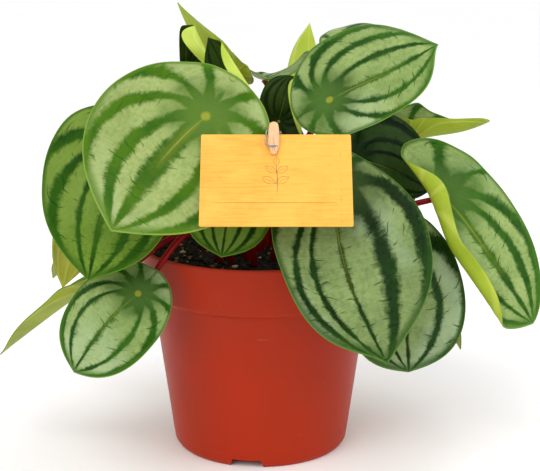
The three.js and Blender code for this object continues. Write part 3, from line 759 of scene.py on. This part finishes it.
def make_blade(name, leaf):
    length = leaf["length"]
    s, t, ring = blade_grid(leaf)
    numbers, walked = vein_numbers(name, leaf, s, t)
    turn = np.arctan2(t, s)
    start = random.uniform(0, tau)
    first, second = (np.sin(wave * turn + start * i) for i, wave in enumerate(RIPPLE_WAVES, 1))
    waves = RIPPLE * (first + SECOND_WAVE * second) * smoothstep(ring, 0.6, 1.05)
    lift = blade_relief(numbers, s, t, length, ring) + waves
    slopes = [blade_points(leaf, s + a, t + b, lift) - blade_points(leaf, s - a, t - b, lift)
              for a, b in ((SLOPE_STEP, 0), (0, SLOPE_STEP))]
    normals = unit(np.cross(*slopes))
    middle = blade_points(leaf, s, t, lift)
    half = (BLADE_THICKNESS + (EDGE_THICKNESS - BLADE_THICKNESS) * ring ** 3)[:, None] / 2
    count = OUTLINE_POINTS
    outward = unit(middle[-count:] - middle[-2 * count:-count])
    edge = middle[-count:] + EDGE_BULGE * EDGE_THICKNESS * outward
    points = np.vstack([middle + normals * half, middle - normals * half, edge])
    upper, lower, rim = blade_faces(count, len(s))
    paints = [PAINTS[leaf["tone"]], PAINTS[leaf["below"]]]
    piece = add_mesh(f"leaf_{name}", points, upper + lower + rim, paints)
    mesh = piece.data
    slots = np.zeros(len(mesh.polygons), np.int32)
    slots[len(upper):len(upper) + len(lower)] = 1
    mesh.polygons.foreach_set("material_index", slots)

    # Every value is known at the upper points, and goes to the lower ones and the margin's edge too.
    # Behind the stalk the midline belongs to both halves, so there each face takes its own half's sign.
    values = (numbers, walked, s, t, np.hypot(s, t) / length)
    numbers, walked, s, t, reach = (np.r_[v, v, v[-count:]] for v in values)
    ring = np.r_[ring, ring, ring[-count:] * 1.01]
    corners = corner_points(mesh)
    face_of = np.repeat(np.arange(len(mesh.polygons)), [len(p.vertices) for p in mesh.polygons])
    right = np.bincount(face_of, t[corners])[face_of] < 0
    sign = np.where(((s < 0) & (np.abs(t) < 1e-6))[corners] & right, -1, 1)
    add_map(mesh, "vein", numbers, walked, sign)
    add_map(mesh, "place", ring, reach)
    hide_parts(f"blade_{name}")


# Stalks: straight in the soil, then one smooth bend up to the underside of the blade
def soil_top(radius):
    return SOIL_EDGE_HEIGHT + SOIL_CROWN * cos(radius / RIM_RADIUS * pi / 2)


def stalk_route(leaf):
    radius, angle = leaf["root"]
    out = np.array([*polar(1, radians(angle)), 0])
    surface = out * radius + (0, 0, soil_top(radius))
    direction = unit(out * radius * ROOT_LEAN + (0, 0, 1))
    end = blade_points(leaf, np.zeros(1), np.zeros(1))[0] - leaf["up"] * STALK_END_DEPTH
    foot = surface - direction * ROOT_DEPTH
    start = surface + direction * STRAIGHT_ABOVE_SOIL
    reach = np.linalg.norm(end - start)
    handles = (start, start + direction * reach * leaf["rise"], end - leaf["up"] * reach * leaf["bend"], end)
    return np.vstack([foot, cubic(handles, np.linspace(0, 1, STALK_RINGS))])


def tube(route, radii, sides):
    """Points and faces of a closed tube along a route."""
    tangents = unit(np.gradient(route, axis=0))
    normal = unit(np.cross(tangents[0], (0.3, 0.9, 0.1)))
    points = []
    for place, tangent, radius in zip(route, tangents, radii):
        normal = unit(normal - (normal @ tangent) * tangent)
        other = np.cross(tangent, normal)
        points += [place + x * normal + y * other for x, y in circle(radius, sides)]
    return capped(points, sides, [route[0], route[-1]])


def make_stalk(name, leaf):
    route = stalk_route(leaf)
    share = np.linspace(0, 1, len(route))
    radii = STALK_RADIUS - STALK_TAPER * smoothstep(share, 0, 0.9)
    radii += STALK_FLARE * smoothstep(share, 0.94, 1)
    points, faces = tube(route, radii, STALK_SIDES)
    piece = add_mesh(f"petiole_{name}", points, faces, [PAINTS["stalk"]])
    ring = np.r_[np.repeat(share, STALK_SIDES), 0, 1]
    turn = np.r_[np.tile(np.abs(np.linspace(-1, 1, STALK_SIDES, endpoint=False)), len(route)), 0, 0]
    add_map(piece.data, "along", turn, ring)
    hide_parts(f"stalk_{name}")


# The pot: a thin wall with a proud collar, a raised floor with drain holes and a notched foot
def wall_radius(height):
    return FOOT_RADIUS + (WALL_TOP_RADIUS - FOOT_RADIUS) * height / STEP_HEIGHT


def revolve(profile, sides):
    """Points and faces of a closed profile of (radius, height) turned about the pot's axis."""
    points = []
    rings = []
    for radius, height in profile:
        start = len(points)
        if radius == 0:
            rings.append([start] * sides)
            points.append((0, 0, height))
        else:
            rings.append(range(start, start + sides))
            points += [(x, y, height) for x, y in circle(radius, sides)]
    faces = []
    for lower, upper in zip(rings, rings[1:]):
        for i in range(sides):
            after = (i + 1) % sides
            faces.append(tuple(dict.fromkeys((lower[i], lower[after], upper[after], upper[i]))))
    return points, faces


def rounded(profile, radius, steps=4):
    """The profile with each corner off the axis rounded by a short curve."""
    result = [profile[0]]
    for corners in zip(profile, profile[1:], profile[2:]):
        before, corner, after = (np.array(point, float) for point in corners)
        cut = [min(radius, np.linalg.norm(other - corner) * 0.45) for other in (before, after)]
        first = corner + unit(before - corner) * cut[0]
        last = corner + unit(after - corner) * cut[1]
        for i in range(steps + 1):
            share = i / steps
            point = first * (1 - share) ** 2 + corner * 2 * share * (1 - share) + last * share ** 2
            result.append(tuple(point))
    return result + [profile[-1]]


def cut_away(piece, near, far, turns):
    """Cuts the prism between two outlines, once for each turn about the pot's axis, out of the piece."""
    count = len(near)
    prism = [tuple(reversed(range(count))), tuple(range(count, 2 * count))] + ring_faces(2, count)
    points = []
    faces = []
    for angle in turns:
        turn = np.array(Matrix.Rotation(radians(angle), 3, "Z"))
        faces += shifted(prism, len(points))
        points += (np.array(near + far, float) @ turn.T).tolist()
    cutter = add_object("cutter", new_mesh("cutter", points, faces))
    modifier = piece.modifiers.new("cut", "BOOLEAN")
    modifier.operation = "DIFFERENCE"
    modifier.solver = "EXACT"
    modifier.object = cutter
    result = bpy.data.meshes.new_from_object(piece.evaluated_get(bpy.context.evaluated_depsgraph_get()))
    piece.modifiers.clear()
    piece.data = result
    bpy.data.objects.remove(cutter)


def make_pot():
    collar = RIM_RADIUS - COLLAR_TAPER
    floor_top = FLOOR_HEIGHT + POT_WALL
    foot_inside = FOOT_RADIUS - 2 * POT_WALL
    # From the floor's underside round the foot, up the outside, over the rim and down the inside
    profile = [
        (0, FLOOR_HEIGHT), (foot_inside, FLOOR_HEIGHT), (foot_inside, 0), (FOOT_RADIUS - 1.2, 0),
        (wall_radius(2.2), 2.2), (wall_radius(6.0), 6.0), (wall_radius(6.2) + 0.12, 6.5),
        (wall_radius(STEP_HEIGHT - 2), STEP_HEIGHT - 2), (collar - 0.5, STEP_HEIGHT - 0.5),
        (collar, STEP_HEIGHT + 0.5), (RIM_RADIUS - 0.2, POT_HEIGHT - 2.5), (RIM_RADIUS, POT_HEIGHT - 1.2),
        (RIM_RADIUS - 0.1, POT_HEIGHT), (RIM_RADIUS - POT_WALL, POT_HEIGHT),
        (collar - POT_WALL - 1.1, STEP_HEIGHT), (wall_radius(INNER_BREAK) - POT_WALL, INNER_BREAK),
        (wall_radius(floor_top) - POT_WALL, floor_top), (0, floor_top),
    ]
    points, faces = revolve(rounded(profile, POT_ROUNDING), POT_SIDES)
    piece = add_mesh("nursery_pot", points, faces, [PAINTS["pot"]])
    half, top, height, reach = NOTCH["width"] / 2, NOTCH["top_width"] / 2, NOTCH["height"], NOTCH["reach"]
    outline = [(-half, -1), (half, -1), (top, height), (-top, height)]
    near, far = ([(FOOT_RADIUS + x, y, z) for y, z in outline] for x in (-reach, reach))
    turns = [NOTCH["first_angle"] + i * 360 / NOTCH["count"] for i in range(NOTCH["count"])]
    cut_away(piece, near, far, turns)
    ring = [(DRAIN["ring"] + x, y) for x, y in circle(DRAIN["radius"], DRAIN["sides"])]
    low, high = ([(x, y, FLOOR_HEIGHT + z) for x, y in ring] for z in (-2, 4))
    cut_away(piece, low, high, [i * 360 / DRAIN["count"] for i in range(DRAIN["count"])])
    piece.data.materials.clear()
    piece.data.materials.append(PAINTS["pot"])
    piece.data.shade_smooth()
    piece.data.set_sharp_from_angle(angle=radians(POT_SHARP))
    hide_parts("pot")


# Soil: a crowned body with a rough top, and loose crumbs that lie on it
def crumb_shape():
    """A six-sided pebble: two poles and three rings."""
    points = [(0, 0, 1)]
    for height, radius in ((0.55, 0.8), (-0.1, 1), (-0.7, 0.65)):
        points += [(x, y, height) for x, y in circle(radius, 6)]
    points.append((0, 0, -1))
    faces = [(0, 1 + i, 1 + (i + 1) % 6) for i in range(6)]
    for ring in (1, 7):
        faces += [(ring + i, ring + 6 + i, ring + 6 + (i + 1) % 6, ring + (i + 1) % 6) for i in range(6)]
    faces += [(19, 13 + (i + 1) % 6, 13 + i) for i in range(6)]
    return np.array(points), faces


def soil_height(x, y):
    radius = hypot(x, y)
    rough = sum(noise.fractal(Vector((x, y, level)) * fineness, *settings) * height
                for fineness, level, *settings, height in SOIL_LAYERS)
    return soil_top(radius) + rough * (1 - smoothstep(radius, SOIL_RADIUS - 3, SOIL_RADIUS))


def make_soil():
    bottom = FLOOR_HEIGHT + POT_WALL + CLEAR
    profile = [(0, bottom), (wall_radius(bottom) - POT_WALL - CLEAR, bottom),
               (wall_radius(INNER_BREAK) - POT_WALL - CLEAR, INNER_BREAK),
               (SOIL_RADIUS, SOIL_EDGE_HEIGHT)]
    profile += [(SOIL_RADIUS * (1 - i / SOIL_RINGS), 0) for i in range(1, SOIL_RINGS + 1)]
    points, faces = revolve(profile, SOIL_SIDES)
    points = np.array(points)
    top = points[:, 2] == 0
    points[top, 2] = [soil_height(x, y) for x, y, _ in points[top]]
    tones = [0.0] * len(points)
    shape, shape_faces = crumb_shape()
    shapes = [points]
    for _ in range(CRUMBS):
        radius = (SOIL_RADIUS - 1.5) * sqrt(random.random())
        x, y = polar(radius, random.uniform(0, tau))
        size = random.choice(CRUMB_SIZES) * random.uniform(0.7, 1.2)
        scale = np.array([random.uniform(0.8, 1.8), random.uniform(0.6, 1.0), random.uniform(0.45, 0.8)])
        turn = np.array(Matrix.Rotation(random.uniform(0, tau), 3, "Z")
                        @ Matrix.Rotation(random.uniform(-0.5, 0.5), 3, "X"))
        jitter = np.array([[random.uniform(0.75, 1.2)] for _ in shape])
        shapes.append((shape * jitter * scale * size) @ turn.T + (x, y, soil_height(x, y) + 0.25 * size))
        faces += shifted(shape_faces, len(tones))
        tones += [random.random()] * len(shape)
    piece = add_mesh("peat_soil", np.vstack(shapes), faces, [PAINTS["soil"]])
    tones = np.array(tones)
    add_map(piece.data, "tone", tones, tones)
    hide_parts("soil")


# The card and the peg share a frame: X across, Y out of the card's face, Z up along the card
def plate(outline, layers):
    """Points and faces of an outline in X and Z, repeated at each (depth, inset) layer."""
    outline = np.array(outline, float)
    inward = leftward(unit(np.roll(outline, -1, axis=0) - np.roll(outline, 1, axis=0)))
    points = [(x, depth, z) for depth, inset in layers for x, z in outline + inward * inset]
    x, z = outline.mean(0)
    return capped(points, len(outline), [(x, layers[0][0], z), (x, layers[-1][0], z)])


def add_card_piece(name, points, faces, paint, angle=40):
    """A piece in the card's frame, with its flat place kept in a map."""
    points = np.array(points, float)
    turn = np.array(Matrix.Rotation(-radians(CARD["tilt"]), 3, "X"))
    piece = add_mesh(name, points @ turn.T + CARD["top_middle"], faces, [paint])
    add_map(piece.data, "face", points[:, 0], points[:, 2])
    piece.data.set_sharp_from_angle(angle=radians(angle))
    return piece


def make_card():
    corner, bevel, deep = CARD["corner"], CARD["bevel"], CARD["thickness"] / 2
    right, low = CARD["width"] / 2 - corner, -CARD["height"] + corner
    outline = []
    for x, z, start in ((right, -corner, 0), (-right, -corner, 90), (-right, low, 180), (right, low, 270)):
        for i in range(6):
            out, up = polar(corner, radians(start + i * 18))
            outline.append((x + out, z + up))
    points, faces = plate(outline, [(deep, bevel), (deep - bevel, 0), (-deep + bevel, 0), (-deep, bevel)])
    piece = add_card_piece("card_plate", points, faces, PAINTS["card"])
    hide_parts("label_card")


def stroke(route, width):
    """A flat printed line along a route of (x, z), thin enough to read as ink."""
    route = np.array(route, float)
    side = leftward(unit(np.gradient(route, axis=0)))
    share = np.linspace(-1, 1, len(route))
    half = width / 2 * (1 - 0.55 * np.abs(share) ** 3)[:, None]
    front = -CARD["thickness"] / 2
    points = [(x, depth, z) for depth in (front - INK_PROUD, front + INK_SUNK)
              for edge in (route + side * half, route - side * half) for x, z in edge]
    count = len(route)
    faces = []
    for i in range(count - 1):
        a, b, c, d = i, i + count, i + 2 * count, i + 3 * count
        faces += [(a, b, b + 1, a + 1), (c, c + 1, d + 1, d), (a, a + 1, c + 1, c), (b, d, d + 1, b + 1)]
    ends = [(0, 2 * count, 3 * count, count),
            (count - 1, 2 * count - 1, 4 * count - 1, 3 * count - 1)]
    return points, faces + ends


def make_print():
    """A plain rule and a simple sprig of five drawn leaves."""
    rule = [(x, RULE["height"]) for x in np.linspace(RULE["left"], RULE["right"], 24)]
    stem = [(STEM["sway"] * sin(z / 5), z) for z in np.linspace(STEM["low"], STEM["high"], 16)]
    strokes = [stroke(rule, RULE["width"]), stroke(stem, STEM["width"])]
    share = np.linspace(0, 1, 14)
    for x, z, angle, length in SPRIG:
        ahead = np.array(polar(1, radians(angle)))
        for bulge in (-0.24, 0, 0.24):
            curve = np.sin(share * pi) * bulge * length
            route = np.array([x, z]) + share[:, None] * length * ahead + curve[:, None] * leftward(ahead)
            strokes.append(stroke(route, 0.2 if bulge else 0.14))
    points = []
    faces = []
    for more_points, more_faces in strokes:
        faces += shifted(more_faces, len(points))
        points += more_points
    add_card_piece("card_print", points, faces, PAINTS["ink"])


def peg_outline():
    """The peg from the front: a nose drawn in to a narrow end, straight sides and a round tail."""
    half, nose, up, down = PEG["width"] / 2, PEG["nose"] / 2, PEG["up"], PEG["down"]
    right = [(nose - 0.4, -down), (nose, -down + 0.4), (half * 0.93, -down * 0.62), (half, -down * 0.5),
             (half, -1), (half - 0.25, up * 0.4)]
    tail = [(cos(a) * (half - 0.45), up - 1.9 + 1.9 * sin(a))
            for a in np.linspace(0.1, pi / 2, 7)]
    side = right + tail
    return [(x + PEG["x"], z) for x, z in side + [(-x, z) for x, z in reversed(side[:-1])]]


def make_jaw(name, face, outside, node):
    """One jaw, flat towards the card and crowned outside."""
    thick = PEG["thickness"]
    layers = [(0, 0.15), (0.15, 0), (0.55 * thick, 0), (0.8 * thick, 0.25), (0.94 * thick, 0.6),
              (thick, 1.0)]
    layers = [(face + outside * depth, inset) for depth, inset in layers]
    if outside > 0:
        layers.reverse()
    points, faces = plate(peg_outline(), layers)
    piece = add_card_piece(name, points, faces, PAINTS["peg"], 60)
    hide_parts(node)


# Setting: a pale floor, a white room and soft lamps
def make_setting():
    mesh = bpy.data.meshes.new("floor")
    corners = [(-1, -1), (1, -1), (1, 1), (-1, 1)]
    mesh.from_pydata([(x * FLOOR_HALF, y * FLOOR_HALF, 0) for x, y in corners], [], [(0, 1, 2, 3)])
    mesh.materials.append(floor_paint())
    floor = add_object("floor", mesh)
    scene = bpy.context.scene
    scene.world = bpy.data.worlds.new("white_room")
    scene.world.use_nodes = True
    background = scene.world.node_tree.nodes["Background"]
    background.inputs["Color"].default_value = (1, 1, 1, 1)
    background.inputs["Strength"].default_value = WORLD_STRENGTH
    scene.view_settings.view_transform = "Standard"
    for name, (kind, place, power, spread) in LAMPS.items():
        lamp = bpy.data.lights.new(name, kind)
        lamp.energy = power
        if kind == "SUN":
            lamp.angle = spread
        else:
            lamp.size = spread
        holder = add_object(name, lamp)
        holder.location = place
        holder.rotation_euler = (Vector(place) - Vector(LAMP_TARGET)).to_track_quat("Z", "Y").to_euler()


def make_camera():
    data = bpy.data.cameras.new("camera")
    data.sensor_fit = "HORIZONTAL"
    data.sensor_width = 36
    data.lens = LENS_PIXELS / PHOTO_WIDTH * data.sensor_width
    data.clip_start = 0.02
    camera = add_object("camera", data)
    camera.location = Vector(CAMERA_PLACE) * MM
    camera.rotation_euler = (radians(90 - CAMERA_PITCH), 0, 0)
    bpy.context.scene.camera = camera


for leaf_name, entry in LEAVES.items():
    leaf_shape = blade_shape(entry)
    make_blade(leaf_name, leaf_shape)
    make_stalk(leaf_name, leaf_shape)
make_pot()
make_soil()
make_card()
make_print()
jaw_face = -CARD["thickness"] / 2 - CLEAR
make_jaw("jaw_front", jaw_face, -1, "peg_front_jaw")
make_jaw("jaw_back", jaw_face + PEG["open"], 1, "peg_back_jaw")
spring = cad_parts["peg_spring"]
spring.data.materials.clear()
spring.data.materials.append(PAINTS["steel"])
spring.data.shade_smooth()
make_setting()
make_camera()
